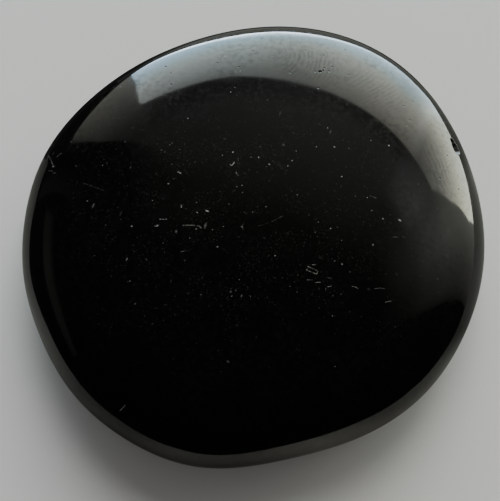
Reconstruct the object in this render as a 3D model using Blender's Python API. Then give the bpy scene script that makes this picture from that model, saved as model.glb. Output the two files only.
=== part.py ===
"""Polished jet stone: a palm-sized, nearly round free-form pebble in one piece.

The stone lies on a small flat spot ground on its underside. Its crown is a broad shallow dome
that turns down over a tight shoulder to the girdle, the widest line of the stone. The underside
is a flatter dome. The far side is +Y, the near side is -Y, and the origin is the middle of the
stone's footprint box on the surface that it lies on.
"""
import math

import bmesh
import bpy
from mathutils import Vector

MM = 0.001
TAU = 2.0 * math.pi

# Sizes: bearings run clockwise as seen from above, from the far side (+Y) over the right (+X)
THICKNESS = 15.0 * MM

# Distance from the middle of the stone to the girdle, every 15 degrees
GIRDLE_RADII = tuple(
    radius * MM
    for radius in (
        24.70, 25.55, 26.20, 26.20, 25.65, 25.15,
        24.95, 24.80, 24.70, 24.70, 24.45, 24.20,
        24.70, 25.50, 25.50, 25.35, 25.00, 24.95,
        25.00, 25.15, 24.95, 24.40, 24.05, 24.10,
    )
)

# Crown: far, right, near and left values of its height over the girdle and its fullness, which
# is low for a broad round shoulder and high for a flat top with a tight one
CROWN_HEIGHTS = (8.7 * MM, 9.0 * MM, 8.2 * MM, 9.6 * MM)
CROWN_FULLNESS = (10.5, 8.0, 12.0, 3.5)
CROWN_DOME_RADII = (114.0 * MM, 116.0 * MM)
SUMMIT = (-0.85 * MM, 1.05 * MM)

# Underside: the same kind of half, shallower and flatter, cut flat where the stone rests
BASE_FULLNESS = (8.0, 8.0, 8.5, 7.0)
BASE_DOME_RADII = (150.0 * MM, 180.0 * MM)
BASE_MIDDLE = (0.60 * MM, -0.80 * MM)
FOOT_DEPTH = 0.16 * MM

# Mesh: faces along each edge of the cube that is blown up into the stone
GRID = 24
MERGE_DISTANCE = 0.05 * MM

JET_COLOUR = (0.0052, 0.0048, 0.0044, 1.0)
JET_ROUGHNESS = 0.05
JET_METALLIC = 0.0
JET_IOR = 1.66


def around(stations, bearing):
    """Read a smooth closed curve through evenly spaced stations at any bearing."""
    count = len(stations)
    total = 0.0
    for index, value in enumerate(stations):
        gap = bearing - index * TAU / count
        if abs(math.sin(gap / 2.0)) < 1e-9:
            return value
        total += value * math.sin(count * gap / 2.0) / (count * math.tan(gap / 2.0))
    return total


def girdle_point(bearing):
    """Plan position of the girdle at a bearing."""
    radius = around(GIRDLE_RADII, bearing)
    return Vector((radius * math.sin(bearing), radius * math.cos(bearing)))


def dome_drop(offset, radii):
    """Fall of a shallow dome at a plan offset from its pole."""
    return offset.x ** 2 / (2.0 * radii[0]) + offset.y ** 2 / (2.0 * radii[1])


def half_section(reach, fullness):
    """Share of the way out to the girdle and share of the shoulder's fall at a reach of 0 to 1."""
    turn = (math.pi / 2.0) * reach ** (fullness / 2.0)
    return math.sin(turn) ** (2.0 / fullness), 1.0 - math.cos(turn)


def half_point(bearing, reach, pole, depth, fullness, dome_radii):
    """Plan position and fall below the pole of a point on one half of the stone."""
    middle = Vector(pole)
    rim = girdle_point(bearing) - middle
    way_out, shoulder = half_section(reach, fullness)
    offset = rim * way_out
    fall = dome_drop(offset, dome_radii) + (depth - dome_drop(rim, dome_radii)) * shoulder
    return middle + offset, fall


def stone_point(direction):
    """Move a direction on a ball out to the stone's skin."""
    bearing = math.atan2(direction.x, direction.y) % TAU
    reach = min(1.0, math.hypot(direction.x, direction.y))
    crown_height = around(CROWN_HEIGHTS, bearing)
    if direction.z >= 0.0:
        fullness = around(CROWN_FULLNESS, bearing)
        plan, fall = half_point(bearing, reach, SUMMIT, crown_height, fullness, CROWN_DOME_RADII)
        return Vector((plan.x, plan.y, THICKNESS - fall))
    depth = THICKNESS - crown_height + FOOT_DEPTH
    fullness = around(BASE_FULLNESS, bearing)
    plan, fall = half_point(bearing, reach, BASE_MIDDLE, depth, fullness, BASE_DOME_RADII)
    return Vector((plan.x, plan.y, fall - FOOT_DEPTH))


def ball_direction(corner):
    """Turn a point on the cube's skin into an evenly spread direction."""
    spread = Vector(math.tan(value * math.pi / 4.0) for value in corner)
    return spread.normalized()


def centre_in_plan(mesh):
    """Bring the middle of the footprint box to the origin."""
    for axis in (0, 1):
        places = [vertex.co[axis] for vertex in mesh.verts]
        shift = Vector((0.0, 0.0, 0.0))
        shift[axis] = -(min(places) + max(places)) / 2.0
        bmesh.ops.translate(mesh, vec=shift, verts=mesh.verts)


def grind_foot(mesh):
    """Cut the underside flat at the surface that the stone lies on."""
    geometry = mesh.verts[:] + mesh.edges[:] + mesh.faces[:]
    cut = bmesh.ops.bisect_plane(
        mesh,
        geom=geometry,
        dist=MERGE_DISTANCE / 2.0,
        plane_co=(0.0, 0.0, 0.0),
        plane_no=(0.0, 0.0, -1.0),
        clear_outer=True,
    )
    rim_vertices = [item for item in cut["geom_cut"] if isinstance(item, bmesh.types.BMVert)]
    for vertex in rim_vertices:
        vertex.co.z = 0.0
    bmesh.ops.remove_doubles(mesh, verts=rim_vertices, dist=MERGE_DISTANCE)
    rim = [edge for edge in mesh.edges if edge.is_boundary]
    bmesh.ops.contextual_create(mesh, geom=rim)


def jet_material():
    """Polished jet: near-black, faintly warm, with a glassy polish."""
    material = bpy.data.materials.new("polished_jet")
    material.use_nodes = True
    shader = material.node_tree.nodes["Principled BSDF"]
    shader.inputs["Base Color"].default_value = JET_COLOUR
    shader.inputs["Roughness"].default_value = JET_ROUGHNESS
    shader.inputs["Metallic"].default_value = JET_METALLIC
    shader.inputs["IOR"].default_value = JET_IOR
    return material


def jet_stone():
    """Build the stone as one closed mesh object."""
    mesh = bmesh.new()
    bmesh.ops.create_cube(mesh, size=2.0)
    bmesh.ops.subdivide_edges(mesh, edges=mesh.edges, cuts=GRID - 1, use_grid_fill=True)
    for vertex in mesh.verts:
        vertex.co = stone_point(ball_direction(vertex.co))
    centre_in_plan(mesh)
    grind_foot(mesh)
    bmesh.ops.recalc_face_normals(mesh, faces=mesh.faces)
    data = bpy.data.meshes.new("jet_stone")
    mesh.to_mesh(data)
    mesh.free()
    data.shade_smooth()
    data.materials.append(jet_material())
    stone = bpy.data.objects.new("jet_stone", data)
    bpy.context.collection.objects.link(stone)
    return stone


def clear_scene():
    """Remove every object that the scene starts with."""
    for item in list(bpy.data.objects):
        bpy.data.objects.remove(item, do_unlink=True)


clear_scene()
jet_stone()
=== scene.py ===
"""Looks of the polished jet stone: its fine skin, its flaws, its dust and a small studio.

The stone's skin is modelled again from the same sizes as the solid, on a finer mesh, and its
scratches, pits and chips are cut into it. Bearings run clockwise as seen from above, from the
far side (+Y) over the right (+X), and a reach runs from 0 at a pole to 1 at the girdle.
"""

import logging
import math
from dataclasses import dataclass, replace
from enum import Enum
from functools import reduce

import bmesh
import bpy
import numpy as np
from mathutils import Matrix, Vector, noise
from mathutils.bvhtree import BVHTree


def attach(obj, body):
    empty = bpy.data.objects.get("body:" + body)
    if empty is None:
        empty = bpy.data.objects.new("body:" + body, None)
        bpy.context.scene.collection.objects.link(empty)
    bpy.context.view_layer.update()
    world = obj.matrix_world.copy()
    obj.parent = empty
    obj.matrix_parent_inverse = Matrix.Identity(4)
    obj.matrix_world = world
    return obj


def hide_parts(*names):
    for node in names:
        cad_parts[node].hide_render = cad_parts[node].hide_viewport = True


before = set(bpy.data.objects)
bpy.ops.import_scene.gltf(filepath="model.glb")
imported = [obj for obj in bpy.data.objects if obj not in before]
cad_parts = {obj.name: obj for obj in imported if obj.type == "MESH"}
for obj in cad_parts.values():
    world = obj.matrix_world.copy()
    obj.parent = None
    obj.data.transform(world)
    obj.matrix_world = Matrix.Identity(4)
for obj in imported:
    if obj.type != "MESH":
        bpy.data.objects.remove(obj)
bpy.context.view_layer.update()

MM = 0.001
TAU = 2.0 * math.pi
TINY = 1e-9
NODE = "jet_stone"
BODY = "root"
WEAR = "wear"

Colour = tuple[float, float, float]
Pair = tuple[float, float]
Stops = tuple[tuple[float, Colour], ...]

log = logging.getLogger("jet_stone_looks")


def around(stations: tuple[float, ...], bearings: np.ndarray) -> np.ndarray:
    """Read a smooth closed curve through evenly spaced stations.

    Args:
        stations: Values at even steps of bearing, the first at the far side.
        bearings: Bearings to read at, in radians.

    Returns:
        The curve's value at each bearing.
    """
    count = len(stations)
    gaps = bearings[:, None] - np.arange(count) * TAU / count
    on_station = np.abs(np.sin(gaps / 2.0)) < TINY
    slopes = np.where(on_station, 1.0, count * np.tan(gaps / 2.0))
    weights = np.where(on_station, 1.0, np.sin(count * gaps / 2.0) / slopes)
    return weights @ np.array(stations)


def shades(*stops: tuple[float, ...]) -> Stops:
    """Make a ramp from angles, each with a neutral level or with red, green and blue."""
    return tuple((angle, (*levels,) * (3 // len(levels))) for angle, *levels in stops)


def dome_drop(offsets: np.ndarray, radii: Pair) -> np.ndarray:
    """Find how far a shallow dome falls at plan offsets from its pole.

    Args:
        offsets: Plan offsets, one row each.
        radii: The dome's radii across X and along Y.

    Returns:
        The fall at each offset.
    """
    return offsets[:, 0] ** 2 / (2.0 * radii[0]) + offsets[:, 1] ** 2 / (2.0 * radii[1])


def gap_to_path(places: np.ndarray, path: np.ndarray) -> np.ndarray:
    """Measure how far places lie from a path.

    Args:
        places: The places, one row each.
        path: The path's points, one row each; a single point will do.

    Returns:
        Each place's distance from the nearest point of the path.
    """
    nearest = np.linalg.norm(places - path[0], axis=1)
    for start, end in zip(path[:-1], path[1:]):
        along = end - start
        share = np.clip((places - start) @ along / (along @ along), 0.0, 1.0)
        gaps = np.linalg.norm(places - start - share[:, None] * along, axis=1)
        nearest = np.minimum(nearest, gaps)
    return nearest


def flat_face(name: str, corners: list[Vector]) -> bpy.types.Mesh:
    """Make a mesh of one flat face.

    Args:
        name: The mesh's name.
        corners: The face's corners, in their order round it.

    Returns:
        The finished mesh.
    """
    mesh = bmesh.new()
    spots = [mesh.verts.new(corner) for corner in corners]
    rim = [mesh.edges.new(pair) for pair in zip(spots, spots[1:] + spots[:1])]
    bmesh.ops.contextual_create(mesh, geom=rim)
    data = bpy.data.meshes.new(name)
    mesh.to_mesh(data)
    mesh.free()
    return data


@dataclass(frozen=True)
class HalfForm:
    """One half of the stone, crown or underside: a dome that turns over a shoulder.

    Its fullness has far, right, near and left values: low for a broad round shoulder, and high
    for a flat half with a tight one.
    """

    pole: Pair
    fullness: tuple[float, ...]
    dome_radii: Pair

    def section(
        self, rims: np.ndarray, bearings: np.ndarray, reaches: np.ndarray, depths: np.ndarray
    ) -> tuple[np.ndarray, np.ndarray]:
        """Place points on this half.

        Args:
            rims: Plan positions of the girdle at the points' bearings.
            bearings: The points' bearings, in radians.
            reaches: Their reaches, 0 at the pole and 1 at the girdle.
            depths: Fall from the pole to the girdle at those bearings.

        Returns:
            The points' plan positions and their fall from the pole.
        """
        fullness = around(self.fullness, bearings)
        turns = (math.pi / 2.0) * reaches ** (fullness / 2.0)
        way_out = np.sin(turns) ** (2.0 / fullness)
        spans = rims - np.array(self.pole)
        offsets = spans * way_out[:, None]
        shoulder = (depths - dome_drop(spans, self.dome_radii)) * (1.0 - np.cos(turns))
        return np.array(self.pole) + offsets, dome_drop(offsets, self.dome_radii) + shoulder


@dataclass(frozen=True)
class StoneForm:
    """The stone's overall form, with the same sizes as the solid."""

    thickness: float = 15.0 * MM
    girdle_radii: tuple[float, ...] = tuple(
        radius * MM
        for radius in (
            24.70, 25.55, 26.20, 26.20, 25.65, 25.15,
            24.95, 24.80, 24.70, 24.70, 24.45, 24.20,
            24.70, 25.50, 25.50, 25.35, 25.00, 24.95,
            25.00, 25.15, 24.95, 24.40, 24.05, 24.10,
        )
    )
    crown_heights: tuple[float, ...] = (8.7 * MM, 9.0 * MM, 8.2 * MM, 9.6 * MM)
    crown: HalfForm = HalfForm(
        pole=(-0.85 * MM, 1.05 * MM),
        fullness=(10.5, 8.0, 12.0, 3.5),
        dome_radii=(114.0 * MM, 116.0 * MM),
    )
    base: HalfForm = HalfForm(
        pole=(0.60 * MM, -0.80 * MM),
        fullness=(8.0, 8.0, 8.5, 7.0),
        dome_radii=(150.0 * MM, 180.0 * MM),
    )
    foot_depth: float = 0.16 * MM
    outline_samples: int = 720

    def rims(self, bearings: np.ndarray) -> np.ndarray:
        """Give the girdle's plan position at each bearing, one row each."""
        radii = around(self.girdle_radii, bearings)
        return np.stack([radii * np.sin(bearings), radii * np.cos(bearings)], axis=1)

    def footprint_middle(self) -> np.ndarray:
        """Give the middle of the outline's box, which the part has at its origin."""
        rims = self.rims(np.arange(self.outline_samples) * TAU / self.outline_samples)
        return (rims.min(axis=0) + rims.max(axis=0)) / 2.0

    def skin(self, corners: np.ndarray) -> np.ndarray:
        """Blow points on a cube up to the stone's skin.

        Args:
            corners: Points on a cube of size 2 round the origin, one row each.

        Returns:
            Their places on the skin, one row each.
        """
        spread = np.tan(corners * math.pi / 4.0)
        directions = spread / np.linalg.norm(spread, axis=1)[:, None]
        bearings = np.arctan2(directions[:, 0], directions[:, 1]) % TAU
        reaches = np.minimum(1.0, np.hypot(directions[:, 0], directions[:, 1]))
        is_crown = directions[:, 2] >= 0.0
        rims = self.rims(bearings)
        heights = around(self.crown_heights, bearings)
        top, top_fall = self.crown.section(rims, bearings, reaches, heights)
        depths = self.thickness - heights + self.foot_depth
        low, low_fall = self.base.section(rims, bearings, reaches, depths)
        plan = np.where(is_crown[:, None], top, low) - self.footprint_middle()
        height = np.where(is_crown, self.thickness - top_fall, low_fall - self.foot_depth)
        return np.column_stack([plan, height])


@dataclass(frozen=True)
class Flaw:
    """A groove or pit in the crown's skin, with straight walls down to a sharp bottom.

    The path gives plan positions and all sizes are in mm. Wear is how far the polish is lost,
    from 0, still glassy, to 1, powdery.
    """

    path: tuple[Pair, ...]
    half_width: float = 0.05
    depth: float = 0.01
    wear: float = 0.8


@dataclass(frozen=True)
class CrownFlaws:
    """All the flaws that can be told apart on the crown."""

    scratches: tuple[Flaw, ...] = (
        Flaw(((-7.0, -2.1), (-6.2, -2.1), (-5.4, -2.2)), 0.08, wear=0.45),
        Flaw(((-5.3, -2.3), (-5.2, -2.4)), 0.07, wear=0.6),
        Flaw(((-9.4, -1.35), (-8.7, -1.4)), wear=0.9),
        Flaw(((5.4, -6.4), (6.4, -6.85), (6.35, -7.15))),
        Flaw(((5.4, -6.65), (5.3, -6.8), (6.3, -7.2))),
        Flaw(((5.9, -6.25), (6.25, -6.2))),
        Flaw(((5.35, -7.8), (5.85, -7.8)), wear=0.6),
        Flaw(((6.2, -8.05), (6.7, -8.0))),
        Flaw(((7.35, -8.45), (7.7, -8.4)), wear=0.7),
        Flaw(((7.15, -8.8), (7.2, -8.6)), wear=0.5),
        Flaw(((7.4, -7.5), (7.8, -7.65)), wear=0.4),
        Flaw(((9.8, -8.35), (10.1, -8.4), (10.4, -8.55)), wear=0.75),
        Flaw(((12.1, -8.5), (12.6, -8.4), (13.1, -8.45)), wear=0.35),
        Flaw(((13.1, -9.8), (13.7, -9.65)), wear=0.9),
        Flaw(((-2.35, 4.6), (-2.25, 4.45), (-2.05, 4.55), (-1.9, 4.8)), 0.08, wear=1.0),
        Flaw(((-1.7, 3.65), (-1.5, 3.3)), 0.08, wear=1.0),
        Flaw(((-1.5, 5.3), (-1.5, 5.0)), wear=0.6),
        Flaw(((-7.65, 3.8), (-7.35, 3.65)), 0.08, wear=1.0),
        Flaw(((-7.15, -4.9), (-6.7, -4.8)), wear=0.6),
        Flaw(((-1.05, -2.15), (-1.0, -2.65)), wear=0.6),
        Flaw(((-17.6, 3.5), (-16.7, 3.05), (-15.3, 2.3)), wear=0.18),
        Flaw(((-13.05, -20.0), (-12.5, -19.6)), 0.07, wear=0.9),
        Flaw(((0.5, -2.25), (1.7, -1.85)), 0.05, 0.005, wear=0.10),
        Flaw(((1.9, -1.75), (3.0, -1.15)), 0.06, 0.008, wear=0.16),
        Flaw(((2.0, 5.0), (2.3, 4.75)), 0.06, 0.008, wear=0.20),
        Flaw(((2.5, 4.6), (3.5, 3.85)), 0.05, 0.005, wear=0.12),
        Flaw(((2.9, 7.8), (3.75, 7.25)), 0.05, 0.005, wear=0.08),
        Flaw(((11.95, 1.35), (12.55, 1.15)), wear=0.5),
        Flaw(((14.05, -3.0), (14.55, -3.0)), wear=0.5),
        Flaw(((16.2, 9.9), (18.4, 11.9)), 0.05, 0.010, wear=0.2),
        Flaw(((20.2, 5.4), (20.85, 6.35)), 0.06, 0.015, wear=0.3),
    )
    left_nick: tuple[Flaw, ...] = (
        Flaw(((-22.2, 8.45), (-21.75, 7.6), (-21.45, 6.9), (-21.2, 6.5)), 0.06, 0.02, 0.6),
        Flaw(((-21.4, 6.55), (-21.15, 6.45)), 0.13, 0.03, 0.6),
        Flaw(((-21.85, 6.2), (-21.3, 5.9)), 0.05, 0.02, 0.5),
        Flaw(((-21.3, 5.65), (-20.9, 5.55)), 0.05, 0.02, 0.5),
        Flaw(((-21.0, 7.6), (-20.5, 7.85)), 0.10, 0.015, 0.4),
        Flaw(((-21.6, 8.2), (-21.4, 8.4)), 0.05, 0.015, 0.4),
    )
    right_chip: tuple[Flaw, ...] = (
        Flaw(((21.45, 9.35), (21.6, 8.8)), 0.36, 0.30, 0.02),
        Flaw(((21.7, 8.75), (21.85, 8.3)), 0.55, 0.42, 0.02),
    )
    wide_pits: tuple[Flaw, ...] = (
        Flaw(((7.1, 16.1), (7.3, 16.15)), 0.13, 0.10, 0.1),
        Flaw(((7.55, 16.3),), 0.10, 0.08, 0.1),
        Flaw(((-9.8, -2.05), (-9.5, -2.0)), 0.11, 0.03, 0.9),
        Flaw(((-7.7, -2.8), (-7.65, -2.65)), 0.12, 0.03, 0.9),
        Flaw(((-4.7, -0.55), (-4.5, -0.6)), 0.10, 0.03, 1.0),
        Flaw(((-7.25, 0.1), (-7.2, -0.1)), 0.10, 0.03, 0.9),
        Flaw(((-2.05, 6.0),), 0.12, 0.03, 1.0),
        Flaw(((-12.2, -1.95),), 0.12, 0.03, 0.8),
        Flaw(((12.05, -3.95),), 0.12, 0.03, 0.9),
        Flaw(((9.1, 3.4),), 0.11, 0.03, 0.9),
        Flaw(((17.2, 13.25),), 0.10, 0.06, 0.1),
        Flaw(((-3.8, 17.15),), 0.10, 0.06, 0.1),
        Flaw(((-9.4, 17.15),), 0.10, 0.06, 0.1),
    )
    glassy_pits: tuple[Pair, ...] = (
        (7.7, 16.6), (8.2, 16.2), (6.7, 16.1), (8.5, 16.8), (7.7, 18.4), (5.7, 19.0), (0.05, 18.75),
        (-8.7, 14.5), (-8.8, 16.05), (-1.5, 16.55), (1.0, 20.7), (10.1, 19.55), (12.85, 17.3),
        (13.2, 17.45), (10.25, 15.9), (6.95, 13.95), (4.0, 15.85), (16.65, 10.65), (16.1, 12.4),
        (20.55, 7.05), (21.55, 3.25), (19.5, 4.05), (-14.2, 15.3),
    )
    powdery_pits: tuple[Pair, ...] = (
        (-5.7, 0.35), (-4.05, -2.6), (-6.3, -3.45), (-1.05, 1.4), (-2.4, 0.15), (0.0, -0.75),
        (-0.7, -0.85), (8.7, -9.15), (-19.4, 9.0), (-13.3, 7.75), (4.5, 1.2),
    )
    glassy_pit: Flaw = Flaw((), 0.10, 0.05, 0.04)
    powdery_pit: Flaw = Flaw((), 0.09, 0.02, 0.7)

    def every(self) -> tuple[Flaw, ...]:
        """Give every flaw, the small pits among them."""
        glassy = tuple(replace(self.glassy_pit, path=(place,)) for place in self.glassy_pits)
        powdery = tuple(replace(self.powdery_pit, path=(place,)) for place in self.powdery_pits)
        marks = self.scratches + self.left_nick + self.right_chip + self.wide_pits
        return marks + glassy + powdery


@dataclass
class JetStone:
    """The stone itself, as one closed mesh.

    The mesh is made finer within a margin of the flaws, which halves with each refinement. In a
    flaw the wear rises faster than the depth, and is full before the bottom.
    """

    form: StoneForm = StoneForm()
    flaws: CrownFlaws = CrownFlaws()
    grid: int = 80
    refinements: int = 4
    margin: float = 0.65 * MM
    wave_height: float = 0.006 * MM
    wave_length: float = 9.0 * MM
    wear_rise: float = 1.5
    merge_distance: float = 0.004 * MM
    ray_height: float = 50.0 * MM

    def build(self) -> bpy.types.Object:
        """Model the stone's skin.

        Returns:
            The finished piece, riding on the part's body in the solid's place.
        """
        mesh = bmesh.new()
        bmesh.ops.create_cube(mesh, size=2.0)
        bmesh.ops.subdivide_edges(mesh, edges=mesh.edges, cuts=self.grid - 1, use_grid_fill=True)
        paths = self._flaw_paths(mesh)
        self._refine(mesh, paths)
        self._blow_up(mesh)
        self._add_waves(mesh)
        self._cut_flaws(mesh, paths)
        self._grind_foot(mesh)
        bmesh.ops.recalc_face_normals(mesh, faces=mesh.faces)
        data = bpy.data.meshes.new("polished_stone")
        mesh.to_mesh(data)
        mesh.free()
        data.shade_smooth()
        piece = bpy.data.objects.new("polished_stone", data)
        bpy.context.scene.collection.objects.link(piece)
        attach(piece, BODY)
        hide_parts(NODE)
        return piece

    def _places(self, mesh: bmesh.types.BMesh) -> np.ndarray:
        """Find where a cube's vertices go on the stone's skin, one row each."""
        return self.form.skin(np.array([vertex.co for vertex in mesh.verts]))

    def _blow_up(self, mesh: bmesh.types.BMesh) -> None:
        """Move the vertices of a cube out to the stone's skin.

        Args:
            mesh: The subdivided cube, which is changed.
        """
        for vertex, place in zip(mesh.verts, self._places(mesh)):
            vertex.co = place

    def _flaw_paths(self, cube: bmesh.types.BMesh) -> list[np.ndarray]:
        """Lay the flaws' paths on the crown.

        Args:
            cube: The subdivided cube, which stays as it is.

        Returns:
            The points of each flaw's path, in the order of the flaws.
        """
        skin = cube.copy()
        self._blow_up(skin)
        tree = BVHTree.FromBMesh(skin)
        skin.free()
        down = Vector((0.0, 0.0, -1.0))
        paths = []
        for flaw in self.flaws.every():
            starts = [Vector((x * MM, y * MM, self.ray_height)) for x, y in flaw.path]
            paths.append(np.array([tree.ray_cast(start, down)[0] for start in starts]))
        return paths

    def _refine(self, cube: bmesh.types.BMesh, paths: list[np.ndarray]) -> None:
        """Make the mesh finer near the flaws, in steps.

        Args:
            cube: The subdivided cube, which is changed.
            paths: The flaws' paths on the crown.
        """
        for step in range(self.refinements):
            places = self._places(cube)
            margin = self.margin * 0.5**step
            gaps = np.full(len(places), np.inf)
            for flaw, path in zip(self.flaws.every(), paths):
                gaps = np.minimum(gaps, gap_to_path(places, path) - flaw.half_width * MM)
            cube.verts.index_update()
            edges = {
                edge
                for face in cube.faces
                if min(gaps[vertex.index] for vertex in face.verts) < margin
                for edge in face.edges
            }
            bmesh.ops.subdivide_edges(
                cube, edges=list(edges), cuts=1, use_grid_fill=True, use_single_edge=True
            )

    def _add_waves(self, mesh: bmesh.types.BMesh) -> None:
        """Give the skin the faint waves of hand polishing.

        Args:
            mesh: The stone's skin, which is changed.
        """
        mesh.normal_update()
        for vertex in mesh.verts:
            wave = noise.noise(vertex.co / self.wave_length)
            vertex.co -= vertex.normal * self.wave_height * (1.0 + wave)

    def _cut_flaws(self, mesh: bmesh.types.BMesh, paths: list[np.ndarray]) -> None:
        """Cut the flaws into the skin and note where its polish is lost.

        Args:
            mesh: The stone's skin, which is changed.
            paths: The flaws' paths on the crown.
        """
        mesh.normal_update()
        places = np.array([vertex.co for vertex in mesh.verts])
        depths = np.zeros(len(places))
        wear = np.zeros(len(places))
        for flaw, path in zip(self.flaws.every(), paths):
            way_out = gap_to_path(places, path) / (flaw.half_width * MM)
            share = np.clip(1.0 - way_out, 0.0, 1.0)
            depths = np.maximum(depths, share * flaw.depth * MM)
            wear = np.maximum(wear, np.minimum(1.0, self.wear_rise * share) * flaw.wear)
        layer = mesh.verts.layers.float.new(WEAR)
        for vertex, depth, worn in zip(mesh.verts, depths, wear):
            vertex.co -= vertex.normal * depth
            vertex[layer] = worn

    def _grind_foot(self, mesh: bmesh.types.BMesh) -> None:
        """Cut the underside flat where the stone rests.

        Args:
            mesh: The stone's skin, which is changed.
        """
        cut = bmesh.ops.bisect_plane(
            mesh,
            geom=mesh.verts[:] + mesh.edges[:] + mesh.faces[:],
            dist=self.merge_distance,
            plane_co=(0.0, 0.0, 0.0),
            plane_no=(0.0, 0.0, -1.0),
            clear_outer=True,
        )
        rim_vertices = [item for item in cut["geom_cut"] if isinstance(item, bmesh.types.BMVert)]
        for vertex in rim_vertices:
            vertex.co.z = 0.0
        bmesh.ops.remove_doubles(mesh, verts=rim_vertices, dist=2.0 * self.merge_distance)
        rim = [edge for edge in mesh.edges if edge.is_boundary]
        bmesh.ops.contextual_create(mesh, geom=rim)


class Term:
    """One output socket, which Python arithmetic can be written with."""

    def __init__(self, desk: "NodeDesk", socket: bpy.types.NodeSocket | None) -> None:
        """Keep the desk and the socket, which an output node doesn't have."""
        self.desk = desk
        self.socket = socket

    def __add__(self, other: "Value") -> "Term":
        """Add a value."""
        return self.desk.math("ADD", self, other)

    def __radd__(self, other: "Value") -> "Term":
        """Add to a value."""
        return self.desk.math("ADD", other, self)

    def __sub__(self, other: "Value") -> "Term":
        """Take a value away."""
        return self.desk.math("SUBTRACT", self, other)

    def __rsub__(self, other: "Value") -> "Term":
        """Take away from a value."""
        return self.desk.math("SUBTRACT", other, self)

    def __mul__(self, other: "Value") -> "Term":
        """Multiply by a value."""
        return self.desk.math("MULTIPLY", self, other)

    def __rmul__(self, other: "Value") -> "Term":
        """Multiply a value."""
        return self.desk.math("MULTIPLY", other, self)

    def __truediv__(self, other: "Value") -> "Term":
        """Divide by a value."""
        return self.desk.math("DIVIDE", self, other)

    def __pow__(self, other: "Value") -> "Term":
        """Raise to a power."""
        return self.desk.math("POWER", self, other)

    def __lt__(self, other: "Value") -> "Term":
        """Give 1 where this is less than a value, and 0 elsewhere."""
        return self.desk.math("LESS_THAN", self, other)


Value = Term | float


def between(low: Value, high: Value, share: Term) -> Term:
    """Go from one value to another by a share."""
    return low + (high - low) * share


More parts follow.
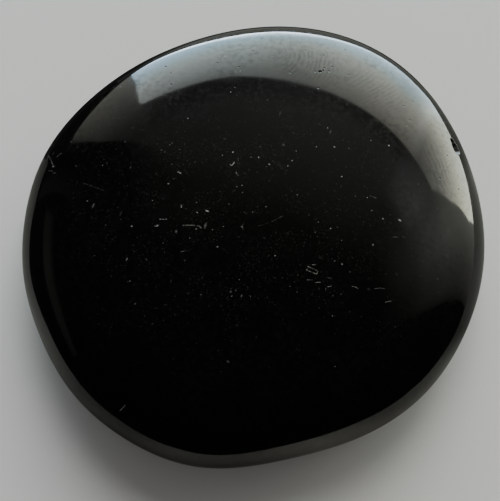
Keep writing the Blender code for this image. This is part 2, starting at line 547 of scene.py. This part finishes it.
class NodeDesk:
    """The node tree of one material or of the world."""

    def __init__(self, tree: bpy.types.NodeTree) -> None:
        """Clear a tree to work on."""
        self.tree = tree
        self.tree.nodes.clear()

    def node(
        self,
        kind: str,
        settings: dict[str, object] | None = None,
        sockets: dict[str | int, object] | None = None,
        output: str | int = 0,
    ) -> Term:
        """Add a node.

        Args:
            kind: The node's type.
            settings: Its properties, and "stops" for a ramp's positions and colours.
            sockets: Values, colours or terms for its inputs, by name or number.
            output: The output wanted, by name or number.

        Returns:
            That output as a term.
        """
        made = self.tree.nodes.new(kind)
        for name, value in (settings or {}).items():
            if name == "stops":
                self._set_stops(made.color_ramp, value)
            else:
                setattr(made, name, value)
        for name, value in (sockets or {}).items():
            socket = made.inputs[name]
            if isinstance(value, Term):
                self.tree.links.new(value.socket, socket)
            else:
                socket.default_value = (*value, 1.0) if socket.type == "RGBA" else value
        return Term(self, made.outputs[output] if len(made.outputs) else None)

    def _set_stops(self, ramp: bpy.types.ColorRamp, stops: Stops) -> None:
        """Give a colour ramp its stops.

        Args:
            ramp: The ramp, which starts with two.
            stops: Positions and colours, in order.
        """
        while len(ramp.elements) < len(stops):
            ramp.elements.new(1.0)
        for element, (position, colour) in zip(ramp.elements, stops):
            element.position = position
            element.color = (*colour, 1.0)

    def math(self, operation: str, *values: Value) -> Term:
        """Add a Math node on values, in their order."""
        return self.node("ShaderNodeMath", {"operation": operation}, dict(enumerate(values)))

    def most(self, *values: Term) -> Term:
        """Take the highest of some values."""
        return reduce(lambda first, second: self.math("MAXIMUM", first, second), values)

    def smooth(self, value: Term, low: float, high: float) -> Term:
        """Turn a value into a smooth step.

        Args:
            value: The value to step on.
            low: Where the step gives 0.
            high: Where it gives 1, which may be lower than the first.

        Returns:
            The step, from 0 to 1.
        """
        return self.node(
            "ShaderNodeMapRange",
            {"interpolation_type": "SMOOTHSTEP"},
            {"Value": value, "From Min": low, "From Max": high},
        )

    def blend_colour(self, factor: Term, first: Colour, second: Colour) -> Term:
        """Mix two colours by a factor."""
        return self.node(
            "ShaderNodeMix", {"data_type": "RGBA"}, {0: factor, 6: first, 7: second}, output=2
        )

    def vector(self, operation: str, *values: object, output: str | int = 0) -> Term:
        """Add a Vector Math node on vectors, in their order."""
        return self.node(
            "ShaderNodeVectorMath", {"operation": operation}, dict(enumerate(values)), output
        )

    def place(self) -> Term:
        """Give the object's own coordinates."""
        return self.node("ShaderNodeTexCoord", output="Object")

    def parts(self, vector: Term, axes: str) -> list[Term]:
        """Split off a vector's parts along some axes."""
        return [self.node("ShaderNodeSeparateXYZ", None, {0: vector}, axis) for axis in axes]

    def turned(self, vector: Term, degrees: float) -> Term:
        """Turn a vector clockwise as seen from above."""
        sockets = {"Vector": vector, "Angle": -math.radians(degrees)}
        return self.node("ShaderNodeVectorRotate", {"rotation_type": "AXIS_ANGLE"}, sockets)

    def from_spot(self, place: Term, spot: Pair) -> Term:
        """Give the plan offset in mm of a place from a spot."""
        flat = self.vector("MULTIPLY", place, (1.0 / MM, 1.0 / MM, 0.0))
        return self.vector("SUBTRACT", flat, (*spot, 0.0))

    def length(self, vector: Term) -> Term:
        """Measure a vector."""
        return self.vector("LENGTH", vector, output="Value")

    def way_out(self, offset: Term, reaches: Pair) -> Term:
        """Measure a plan offset against an oval's reaches along X and Y, 1 on its edge."""
        return self.length(self.vector("DIVIDE", offset, (*reaches, 1.0)))

    def ripple(self, place: Term, length: float) -> Term:
        """Add smooth noise with features of about a length, from 0 to 1."""
        return self.node("ShaderNodeTexNoise", None, {"Vector": place, "Scale": 1.0 / length})

    def ramp(self, angle: Term, stops: Stops) -> Term:
        """Read a colour from a ramp over an angle.

        Args:
            angle: The angle to read at, in radians.
            stops: Angles in degrees and colours, in order.

        Returns:
            The colour there.
        """
        low, high = stops[0][0], stops[-1][0]
        share = (angle * (180.0 / math.pi) - low) / (high - low)
        spaced = tuple(((degrees - low) / (high - low), colour) for degrees, colour in stops)
        return self.node("ShaderNodeValToRGB", {"stops": spaced}, {0: share})


def node_material(name: str) -> tuple[bpy.types.Material, NodeDesk]:
    """Start a material, with the desk that its nodes are laid on."""
    made = bpy.data.materials.new(name)
    made.use_nodes = True
    return made, NodeDesk(made.node_tree)


@dataclass(frozen=True)
class Specks:
    """Light specks of one size class that lie on the polish.

    Sizes are in mm, and radii and strengths are the least and the most. The higher a rarity, the
    fewer specks are near the most. The edge is where a speck ends and is full, in its radii.
    """

    cell: float
    radii: Pair
    kept: float
    strengths: Pair
    bright_rarity: float
    stretch: float
    turn: float
    large_rarity: float = 3.0
    edge: Pair = (1.25, 0.2)
    ragged: float = 0.05
    ragged_length: float = 1.0 / 6.0

    def mask(self, desk: NodeDesk, place: Term, thickness: Term) -> Term:
        """Make the specks' mask.

        Args:
            desk: The desk to work on.
            place: Object coordinates.
            thickness: How thickly specks lie, from 0 to 1.

        Returns:
            1 on a bright speck and 0 on clean polish.
        """
        fine = {"Vector": place, "Scale": 1.0 / (self.ragged_length * MM)}
        push = desk.node("ShaderNodeTexNoise", None, fine, "Color")
        push = desk.vector("SUBTRACT", push, (0.5, 0.5, 0.5))
        bent = desk.vector("MULTIPLY_ADD", push, (2.0 * self.ragged * MM,) * 3, place)
        drawn_out = desk.vector("DIVIDE", desk.turned(bent, self.turn), (self.stretch, 1.0, 1.0))
        scattered = {"Vector": drawn_out, "Scale": 1.0 / (self.cell * MM)}
        plan = {"voronoi_dimensions": "2D"}
        distance = desk.node("ShaderNodeTexVoronoi", plan, scattered, "Distance")
        drawn = desk.node("ShaderNodeTexVoronoi", plan, scattered, "Color")
        lot, strength, size = (
            desk.node("ShaderNodeSeparateColor", None, {0: drawn}, channel) for channel in range(3)
        )
        least, most = (radius / self.cell for radius in self.radii)
        radius = between(least, most, size**self.large_rarity)
        disc = desk.smooth(distance / radius, *self.edge)
        bright = between(*self.strengths, strength**self.bright_rarity)
        return disc * bright * (lot < thickness * self.kept)


@dataclass(frozen=True)
class FingerMark:
    """A faint touch of skin oil in ridges, as a patch on the crown.

    The ridges run round the core, all plan positions and sizes are in mm, and the patch's long
    axis is turned anticlockwise from +X. A pair named for a step is where it gives 0 and 1.
    """

    core: Pair
    middle: Pair
    reaches: Pair
    turn: float
    strength: float = 1.0
    pitch: float = 0.47
    ridge_step: Pair = (-0.6, 0.7)
    wander: float = 0.9
    wander_length: float = 2.2
    uneven: float = 0.5
    uneven_length: float = 0.9
    edge_step: Pair = (1.35, 0.65)
    oily_step: Pair = (0.30, 0.62)
    least_oil: float = 0.10

    def mask(self, desk: NodeDesk, place: Term) -> Term:
        """Make the touch's mask.

        Args:
            desk: The desk to work on.
            place: Object coordinates.

        Returns:
            How much oil lies there, from 0 to about 1.
        """
        reach = desk.length(desk.from_spot(place, self.core))
        wander = desk.ripple(place, self.wander_length * MM)
        phase = (reach / self.pitch + wander * (2.0 * self.wander)) * TAU
        ridge = desk.smooth(desk.math("SINE", phase), *self.ridge_step)
        along = desk.turned(desk.from_spot(place, self.middle), self.turn)
        uneven = desk.ripple(place, self.uneven_length * MM)
        edge = desk.way_out(along, self.reaches) + uneven * self.uneven
        patch = desk.smooth(edge, *self.edge_step)
        oily = desk.smooth(uneven, *self.oily_step)
        return patch * between(self.least_oil, 1.0, ridge * oily) * self.strength


@dataclass(frozen=True)
class SkinOil:
    """The thin film that fingers leave: duller and less reflective than the polish."""

    colour: Colour = (0.0045, 0.0045, 0.0040)
    roughness: float = 0.22
    ior: float = 1.42
    smear_length: float = 0.55 * MM
    smear_step: Pair = (0.35, 0.75)
    spread_length: float = 4.0 * MM
    spread_step: Pair = (0.35, 0.65)
    least_spread: float = 0.3
    touches: tuple[FingerMark, ...] = (
        FingerMark(core=(2.1, 18.4), middle=(5.6, 17.3), reaches=(5.6, 2.9), turn=-14.0),
        FingerMark((4.0, 26.0), (13.4, 14.2), (5.0, 2.8), turn=-40.0, strength=0.7),
        FingerMark(core=(60.0, 18.0), middle=(19.0, 5.4), reaches=(4.2, 2.2), turn=-78.0),
    )

    def shader(self, desk: NodeDesk) -> Term:
        """Make the film's shader."""
        sockets = {"Base Color": self.colour, "Roughness": self.roughness, "IOR": self.ior}
        return desk.node("ShaderNodeBsdfPrincipled", None, sockets)

    def mask(self, desk: NodeDesk, place: Term) -> Term:
        """Find where the film lies, in the touches and as a thin uneven smear all over.

        Args:
            desk: The desk to work on.
            place: Object coordinates.

        Returns:
            How much film lies there, from 0 to 1.
        """
        streaks = desk.smooth(desk.ripple(place, self.smear_length), *self.smear_step)
        spread = desk.smooth(desk.ripple(place, self.spread_length), *self.spread_step)
        smear = streaks * between(self.least_spread, 1.0, spread)
        return desk.most(smear, *(touch.mask(desk, place) for touch in self.touches))


@dataclass(frozen=True)
class PolishedJet:
    """Polished jet: near-black, faintly warm, with a glassy polish, dust and finger marks.

    A length is that of a noise's features, and a pair named for a step is where it gives 0 and
    1. The dustiest spot and the dust's reaches round it are in mm.
    """

    colour: Colour = (0.0017, 0.0016, 0.0014)
    roughness: float = 0.050
    dull_roughness: float = 0.070
    dull_length: float = 6.0 * MM
    dull_step: Pair = (0.3, 0.8)
    ior: float = 1.66
    powder: Colour = (0.33, 0.33, 0.305)
    powder_roughness: float = 0.7
    powder_cover: Pair = (0.08, 0.70)
    broken_length: float = 0.20 * MM
    broken_step: Pair = (0.36, 0.60)
    dust: tuple[Specks, ...] = (
        Specks(0.28, (0.060, 0.090), 0.75, (0.01, 0.08), bright_rarity=2, stretch=1.1, turn=-20),
        Specks(0.48, (0.065, 0.115), 0.46, (0.03, 0.65), bright_rarity=18, stretch=1.2, turn=15),
        Specks(0.95, (0.070, 0.155), 0.36, (0.04, 0.80), bright_rarity=10, stretch=1.5, turn=-35),
        Specks(2.00, (0.070, 0.140), 0.35, (0.06, 0.60), bright_rarity=5, stretch=2.6, turn=70),
    )
    dusty_heights: Pair = (10.5 * MM, 13.2 * MM)
    wiped_near: Pair = (-20.0 * MM, -8.0 * MM)
    dustiest: Pair = (-2.5, -0.5)
    dust_reaches: Pair = (18.0, 15.0)
    dust_step: Pair = (1.25, 0.30)
    clean_length: float = 3.5 * MM
    clean_step: Pair = (0.40, 0.60)
    least_dust: float = 0.20
    oil: SkinOil = SkinOil()
    oil_share: float = 0.60

    def material(self) -> bpy.types.Material:
        """Make the finish.

        Returns:
            The finished material.
        """
        made, desk = node_material("polished_jet")
        place = desk.place()
        worn = desk.node("ShaderNodeAttribute", {"attribute_name": WEAR}, output="Fac")
        broken = desk.smooth(desk.ripple(place, self.broken_length), *self.broken_step)
        powder = worn * between(*self.powder_cover, broken)
        powdery = desk.most(powder, self._dust(desk, place))
        colour = desk.blend_colour(powdery, self.colour, self.powder)
        dull = desk.smooth(desk.ripple(place, self.dull_length), *self.dull_step)
        polish = between(self.roughness, self.dull_roughness, dull)
        roughness = between(polish, self.powder_roughness, powdery)
        sockets = {"Base Color": colour, "Roughness": roughness, "IOR": self.ior}
        bare = desk.node("ShaderNodeBsdfPrincipled", None, sockets)
        oily = self.oil.mask(desk, place) * self.oil_share
        layers = {0: oily, 1: bare, 2: self.oil.shader(desk)}
        surface = desk.node("ShaderNodeMixShader", None, layers)
        desk.node("ShaderNodeOutputMaterial", None, {"Surface": surface})
        return made

    def _dust(self, desk: NodeDesk, place: Term) -> Term:
        """Lay dust on the crown.

        Args:
            desk: The desk to work on.
            place: Object coordinates.

        Returns:
            The dust's mask, from 0 to 1.
        """
        y, z = desk.parts(place, "YZ")
        kept = desk.smooth(z, *self.dusty_heights) * desk.smooth(y, *self.wiped_near)
        way_out = desk.way_out(desk.from_spot(place, self.dustiest), self.dust_reaches)
        settled = between(self.least_dust, 1.0, desk.smooth(way_out, *self.dust_step))
        patches = desk.smooth(desk.ripple(place, self.clean_length), *self.clean_step)
        thickness = kept * settled * between(self.least_dust, 1.0, patches)
        return desk.most(*(specks.mask(desk, place, thickness) for specks in self.dust))


class Light(Enum):
    """The glowing cards of the studio."""

    LEFT_PANEL = "left_panel"
    RIGHT_PANEL = "right_panel"
    LOW_STRIP = "low_strip"
    LEFT_FILL = "left_fill"
    RIGHT_FILL = "right_fill"
    UPPER_FILL = "upper_fill"
    UPPER_PATCH = "upper_patch"
    SIDE_BAND = "side_band"
    SIDE_STRIP = "side_strip"


@dataclass(frozen=True)
class Card:
    """An upright glowing card, as it is seen from the top of the stone.

    Its corners and both ramps are in degrees: to the right of the far side, and up from level.
    Its glow is the product of the two ramps. Cards behind it show through it.
    """

    light: Light
    bearing: float
    distance: float
    corners: tuple[Pair, ...]
    across: Stops
    up: Stops
    strength: float
    eye_height: float = 10.0 * MM

    def build(self) -> None:
        """Model the card and add it to the scene."""
        data = flat_face(self.light.value, [self._corner(*corner) for corner in self.corners])
        card = bpy.data.objects.new(self.light.value, data)
        data.materials.append(self._glow())
        card.visible_camera = False
        bpy.context.scene.collection.objects.link(card)

    def _corner(self, right: float, up: float) -> Vector:
        """Place a corner on the card's plane.

        Args:
            right: Degrees to the right of the far side.
            up: Degrees up from level.

        Returns:
            The corner's position.
        """
        reach = self.distance / math.cos(math.radians(right - self.bearing))
        turn = math.radians(right)
        rise = self.eye_height + reach * math.tan(math.radians(up))
        return Vector((reach * math.sin(turn), reach * math.cos(turn), rise))

    def _glow(self) -> bpy.types.Material:
        """Make the card's light.

        Returns:
            The glowing material.
        """
        made, desk = node_material(self.light.value)
        x, y, z = desk.parts(desk.place(), "XYZ")
        reach = (x * x + y * y) ** 0.5
        across = desk.ramp(desk.math("ARCTAN2", x, y), self.across)
        up = desk.ramp(desk.math("ARCTAN2", z - self.eye_height, reach), self.up)
        colour = desk.vector("MULTIPLY", across, up)
        glow = desk.node("ShaderNodeEmission", None, {"Color": colour, "Strength": self.strength})
        clear = desk.node("ShaderNodeBsdfTransparent")
        surface = desk.node("ShaderNodeAddShader", None, {0: glow, 1: clear})
        desk.node("ShaderNodeOutputMaterial", None, {"Surface": surface})
        return made


@dataclass(frozen=True)
class Sheet:
    """A plain matt sheet that lies a little under the stone.

    Its outline is in bearings in degrees and radii in mm. Its shades are painted shade: they say
    how light it is at bearings in degrees, and without them it is evenly light.
    """

    name: str
    outline: tuple[Pair, ...]
    colour: Colour
    drop: float
    shades: Stops = ()

    def build(self) -> bpy.types.Object:
        """Lay the sheet.

        Returns:
            The sheet.
        """
        data = flat_face(self.name, [self._corner(*corner) for corner in self.outline])
        data.materials.append(self._matt())
        sheet = bpy.data.objects.new(self.name, data)
        bpy.context.scene.collection.objects.link(sheet)
        return sheet

    def _corner(self, bearing: float, radius: float) -> Vector:
        """Place a corner of the outline."""
        turn = math.radians(bearing)
        return Vector((radius * MM * math.sin(turn), radius * MM * math.cos(turn), -self.drop))

    def _matt(self) -> bpy.types.Material:
        """Make the sheet's finish.

        Returns:
            The matt material.
        """
        made, desk = node_material(self.name)
        paint = self.colour
        if self.shades:
            # Painted shade: the ramp darkens the sheet's colour by bearing.
            x, y = desk.parts(desk.place(), "XY")
            shade = desk.ramp(desk.math("ARCTAN2", x, y), self.shades)
            paint = desk.vector("MULTIPLY", shade, self.colour)
        sockets = {"Base Color": paint, "Roughness": 1.0, "Specular IOR Level": 0.0}
        matt = desk.node("ShaderNodeBsdfPrincipled", None, sockets)
        desk.node("ShaderNodeOutputMaterial", None, {"Surface": matt})
        return made


@dataclass(frozen=True)
class Studio:
    """Floor, sheets that only the polish sees, surroundings, lamp, camera and cards."""

    floor: Sheet = Sheet(
        name="floor",
        outline=tuple((bearing, 3000.0) for bearing in range(0, 360, 5)),
        colour=(0.74, 0.73, 0.71),
        drop=0.02 * MM,
    )
    # Painted shade: greys by bearing that darken both mirrored sheets, in place of shadow near the
    # stone and of dark things beyond it.
    mirrored_painted_shades: Stops = shades(
        (-180, 0.31), (-160, 0.34), (-145, 0.21), (-128, 0.21), (-107, 0.34), (-84, 0.235),
        (-74, 0.235), (-62, 0.12), (-50, 0.07), (-28, 0.07), (-15, 0.33), (10, 0.34), (42, 0.24),
        (60, 0.15), (68, 0.32), (80, 0.25), (92, 0.24), (110, 0.11), (120, 0.27), (142, 0.25),
        (162, 0.50), (180, 0.31),
    )
    mirrored_sheets: tuple[Sheet, ...] = (
        Sheet(
            name="mirrored_floor",
            outline=(
                (-62, 53), (-57, 25), (-36, 25), (-34, 64), (-23, 64), (-20, 69), (-17, 77),
                (-13, 94), (-9, 135), (-5, 148), (0, 160), (8, 150), (12, 130), (16, 108), (19, 92),
                (22, 80), (26, 69), (32, 61), (40, 57), (46, 50), (51, 55), (56, 58), (61, 59),
                (66, 62), (71, 70), (76, 73), (84, 69), (95, 53), (108, 44), (118, 46), (130, 50),
                (150, 53), (165, 47), (180, 46), (200, 50), (220, 47), (240, 49), (256, 47),
                (265, 42.5), (270, 42), (276, 44), (281, 46), (286, 49), (291, 52),
            ),
            colour=(1.03, 1.00, 0.92),
            drop=0.015 * MM,
            shades=mirrored_painted_shades,
        ),
        # A dark sheet of painted shade, which the polish mirrors beyond the far rim in place of
        # shadow and dark things there.
        Sheet(
            name="mirrored_shade",
            outline=(
                (-66, 20), (-62, 38), (-50, 43), (-35, 44), (-20, 43), (0, 41), (15, 41), (30, 40),
                (42, 37), (52, 30), (58, 20),
            ),
            colour=(0.22, 0.22, 0.20),
            drop=0.010 * MM,
            shades=mirrored_painted_shades,
        ),
    )
    pale_room: Colour = (0.18, 0.18, 0.18)
    dark_room: Colour = (0.009, 0.009, 0.0085)
    lamp_bearing: float = 12.0
    lamp_rise: float = 52.0
    lamp_distance: float = 1.2
    lamp_side: float = 0.7
    lamp_power: float = 7.0
    camera_aim: tuple[float, float, float] = (-0.29 * MM, -4.90 * MM, 15.0 * MM)
    camera_lean: float = 21.0
    camera_distance: float = 110.0 * MM
    lens: float = 79.7
    clip: Pair = (0.01, 10.0)
    cards: tuple[Card, ...] = (
        Card(
            light=Light.LEFT_PANEL,
            bearing=16.7,
            distance=1.0,
            corners=(
                (-26.6, -13.5), (47, -24), (47, 41.9), (41.5, 43.1), (16.7, 45.5), (-4, 43.9),
                (-17, 41.6), (-29.3, 36), (-30.3, 33.5), (-29.9, 22.5), (-29.1, 14), (-28.2, 1),
                (-27.4, -7),
            ),
            across=shades(
                (-30, 0.57, 0.58, 0.61), (-22, 0.69, 0.71, 0.74), (-14, 0.82, 0.86, 0.90),
                (-2, 0.93, 1.00, 1.04), (8, 0.90, 0.91, 0.91), (18, 0.97, 0.95, 0.92),
                (28, 0.93, 0.88, 0.83), (34, 0.80, 0.75, 0.70), (40, 0.58, 0.53, 0.48),
                (44, 0.26, 0.245, 0.23), (47, 0.0),
            ),
            up=shades(
                (-24, 0.50, 0.70, 0.85), (0, 0.44, 0.62, 0.74), (8, 0.44, 0.61, 0.69),
                (14, 0.46, 0.59, 0.62), (20, 0.47, 0.545, 0.53), (26, 0.45, 0.495, 0.465),
                (32, 0.37, 0.405, 0.38), (38, 0.27, 0.29, 0.27), (42, 0.18, 0.19, 0.175),
                (46.5, 0.10, 0.105, 0.10),
            ),
            strength=10.0,
        ),
        Card(
            light=Light.RIGHT_PANEL,
            bearing=16.7,
            distance=1.03,
            corners=(
                (37, -24), (69, -24), (69, 0), (66, 12), (62.5, 25), (55.5, 39), (41.5, 43.1),
                (37, 43.9),
            ),
            across=shades(
                (37, 0.0), (41, 0.25, 0.25, 0.245), (44, 0.70, 0.70, 0.69), (47, 0.78, 0.78, 0.77),
                (50, 0.78, 0.78, 0.77), (56, 0.85, 0.85, 0.84), (62, 0.93, 0.93, 0.86),
                (70, 1.00, 1.00, 0.90),
            ),
            up=shades(
                (-24, 0.50, 0.54, 0.48), (-2, 0.58, 0.61, 0.53), (4, 0.58, 0.60, 0.50),
                (10, 0.53, 0.54, 0.44), (16, 0.42, 0.42, 0.35), (22, 0.315, 0.32, 0.275),
                (28, 0.225, 0.23, 0.20), (34, 0.145, 0.145, 0.13), (42, 0.065, 0.065, 0.06),
            ),
            strength=10.0,
        ),
        Card(
            light=Light.LOW_STRIP,
            bearing=0.0,
            distance=0.9,
            corners=(
                (-24.5, -20), (-20, -20), (-14, -15), (-8, -11), (0, -9), (8, -9.5), (14, -12),
                (20, -16), (28, -22), (28, -13), (20, -5.5), (14, -1), (8, 7), (2, 10), (-4, 8),
                (-9, 0), (-14, -5), (-20, -10.5), (-25.5, -14),
            ),
            across=shades(
                (-28, 0.10, 0.12, 0.14), (-20, 0.34, 0.40, 0.46), (-13, 0.75, 0.84, 0.92),
                (-7, 0.90, 0.98, 1.05), (-3, 0.93, 1.00, 1.08), (6, 0.93, 1.00, 1.08),
                (13, 0.50, 0.56, 0.62), (20, 0.20, 0.23, 0.26), (28, 0.05, 0.06, 0.07),
            ),
            up=shades((-26, 1.0), (-3.5, 1.0), (0.5, 0.40), (4, 0.15), (10, 0.0)),
            strength=13.0,
        ),
        Card(
            light=Light.LEFT_FILL,
            bearing=-40.0,
            distance=1.7,
            corners=(
                (-50.8, 5), (-47, 0.5), (-43, -1.5), (-39, -3.5), (-34, -7), (-31, -9.5),
                (-27.6, -12.5), (-12, 0), (-12, 62), (-24, 57), (-33, 51), (-40, 44), (-45, 37),
                (-48, 30), (-50, 18),
            ),
            across=shades(
                (-51, 0.03), (-49.5, 0.22), (-47.5, 0.35), (-45, 0.40), (-39, 0.56), (-33, 0.68),
                (-30.5, 0.76), (-22, 0.35), (-12, 0.0),
            ),
            up=shades(
                (-16, 1.0, 1.0, 0.88), (12, 0.98, 0.98, 0.87), (20, 0.88, 0.88, 0.79),
                (28, 0.70, 0.71, 0.64), (34, 0.47, 0.48, 0.44), (40, 0.25, 0.26, 0.24),
                (48, 0.10, 0.10, 0.09), (62, 0.0),
            ),
            strength=1.0,
        ),
        Card(
            light=Light.RIGHT_FILL,
            bearing=66.0,
            distance=1.7,
            corners=((44, -20), (91, -20), (91, 66), (66, 68), (44, 66)),
            across=shades(
                (44, 0.0), (50, 0.25), (57, 0.50), (63, 0.74), (69, 0.72), (75, 0.50), (81, 0.30),
                (87, 0.18), (91, 0.06),
            ),
            up=shades(
                (-20, 1.05, 1.05, 0.94), (4, 1.05, 1.06, 0.95), (15, 0.98, 1.00, 0.90),
                (32, 0.92, 0.94, 0.84), (40, 0.72, 0.73, 0.67), (48, 0.52, 0.53, 0.48),
                (55, 0.22, 0.22, 0.20), (66, 0.0),
            ),
            strength=1.0,
        ),
        Card(
            light=Light.UPPER_FILL,
            bearing=15.0,
            distance=1.4,
            corners=(
                (-46, 34), (-30, 33), (-15, 35), (0, 37), (15, 37), (30, 37), (45, 35), (60, 33),
                (78, 30), (78, 79), (-46, 79),
            ),
            across=shades(
                (-46, 0.0), (-30, 0.30), (-15, 0.62), (2, 0.88), (22, 1.0), (38, 0.85), (50, 0.45),
                (78, 0.0),
            ),
            up=shades(
                (34, 0.10, 0.10, 0.09), (46.5, 0.10, 0.105, 0.10), (50, 0.22, 0.225, 0.21),
                (55, 0.185, 0.19, 0.175), (64, 0.09, 0.09, 0.08), (70, 0.02, 0.02, 0.018),
                (79, 0.0),
            ),
            strength=1.0,
        ),
        Card(
            light=Light.UPPER_PATCH,
            bearing=53.0,
            distance=1.5,
            corners=((34, 40), (66, 40), (66, 58), (34, 58)),
            across=shades(
                (34, 0.0), (40, 0.15), (43.5, 0.85), (47, 1.0), (53, 1.0), (58, 0.3), (66, 0.0),
            ),
            up=shades((40, 0.0), (46, 0.8), (50, 1.0), (54.5, 0.85), (56.5, 0.2), (58, 0.0)),
            strength=0.26,
        ),
        Card(
            light=Light.SIDE_BAND,
            bearing=-85.0,
            distance=1.5,
            corners=((-104, 0.5), (-66, 3.5), (-66, 14), (-84, 14.5), (-104, 10)),
            across=shades((-104, 0.5), (-92, 0.8), (-75, 1.0), (-66, 0.6)),
            up=shades((0, 0.2), (5, 1.0, 1.0, 0.95), (10, 1.0, 1.0, 0.93), (15, 0.1)),
            strength=0.075,
        ),
        Card(
            light=Light.SIDE_STRIP,
            bearing=-61.0,
            distance=1.45,
            corners=((-63.3, -12), (-58.5, -12), (-57, 36), (-62.5, 36)),
            across=shades((-63.5, 1.0), (-61, 0.8), (-57.5, 0.0)),
            up=shades((-12, 1.0), (12, 1.0), (36, 0.4)),
            strength=0.028,
        ),
    )

    def build(self) -> None:
        """Set up the whole studio."""
        floor = self.floor.build()
        floor.visible_glossy = False
        for sheet in self.mirrored_sheets:
            mirrored = sheet.build()
            mirrored.visible_camera = False
            mirrored.visible_diffuse = False
            mirrored.visible_shadow = False
        self._surroundings()
        self._lamp()
        self._camera()
        for card in self.cards:
            card.build()
            log.info("stage %s", card.light.value)

    def _surroundings(self) -> None:
        """Make the room pale to look at and dim in the polish."""
        world = bpy.data.worlds.new("room")
        bpy.context.scene.world = world
        world.use_nodes = True
        desk = NodeDesk(world.node_tree)
        mirrored = desk.node("ShaderNodeLightPath", output="Is Glossy Ray")
        colour = desk.blend_colour(mirrored, self.pale_room, self.dark_room)
        room = desk.node("ShaderNodeBackground", None, {"Color": colour, "Strength": 1.0})
        desk.node("ShaderNodeOutputWorld", None, {"Surface": room})

    def _lamp(self) -> None:
        """Hang one wide soft lamp beyond the stone, which the polish doesn't mirror."""
        data = bpy.data.lights.new("soft_lamp", "AREA")
        data.size = self.lamp_side
        data.energy = self.lamp_power
        lamp = bpy.data.objects.new("soft_lamp", data)
        turn, rise = math.radians(self.lamp_bearing), math.radians(self.lamp_rise)
        level = self.lamp_distance * math.cos(rise)
        height = self.lamp_distance * math.sin(rise)
        lamp.location = (level * math.sin(turn), level * math.cos(turn), height)
        lamp.rotation_euler = Vector(lamp.location).to_track_quat("Z", "Y").to_euler()
        lamp.visible_glossy = False
        bpy.context.scene.collection.objects.link(lamp)

    def _camera(self) -> None:
        """Stand the camera in front of the stone, leaning over it."""
        lean = math.radians(self.camera_lean)
        data = bpy.data.cameras.new("camera")
        data.lens = self.lens
        data.clip_start, data.clip_end = self.clip
        camera = bpy.data.objects.new("camera", data)
        stand = Vector((0.0, -math.sin(lean), math.cos(lean))) * self.camera_distance
        camera.location = Vector(self.camera_aim) + stand
        camera.rotation_euler = (lean, 0.0, 0.0)
        bpy.context.scene.collection.objects.link(camera)
        bpy.context.scene.camera = camera


def main() -> None:
    """Build the stone, its finish and the studio."""
    stone = JetStone().build()
    stone.data.materials.append(PolishedJet().material())
    log.info("piece %s: %d faces", stone.name, len(stone.data.polygons))
    Studio().build()


if __name__ == "__main__":
    logging.basicConfig(level=logging.INFO)
    main()
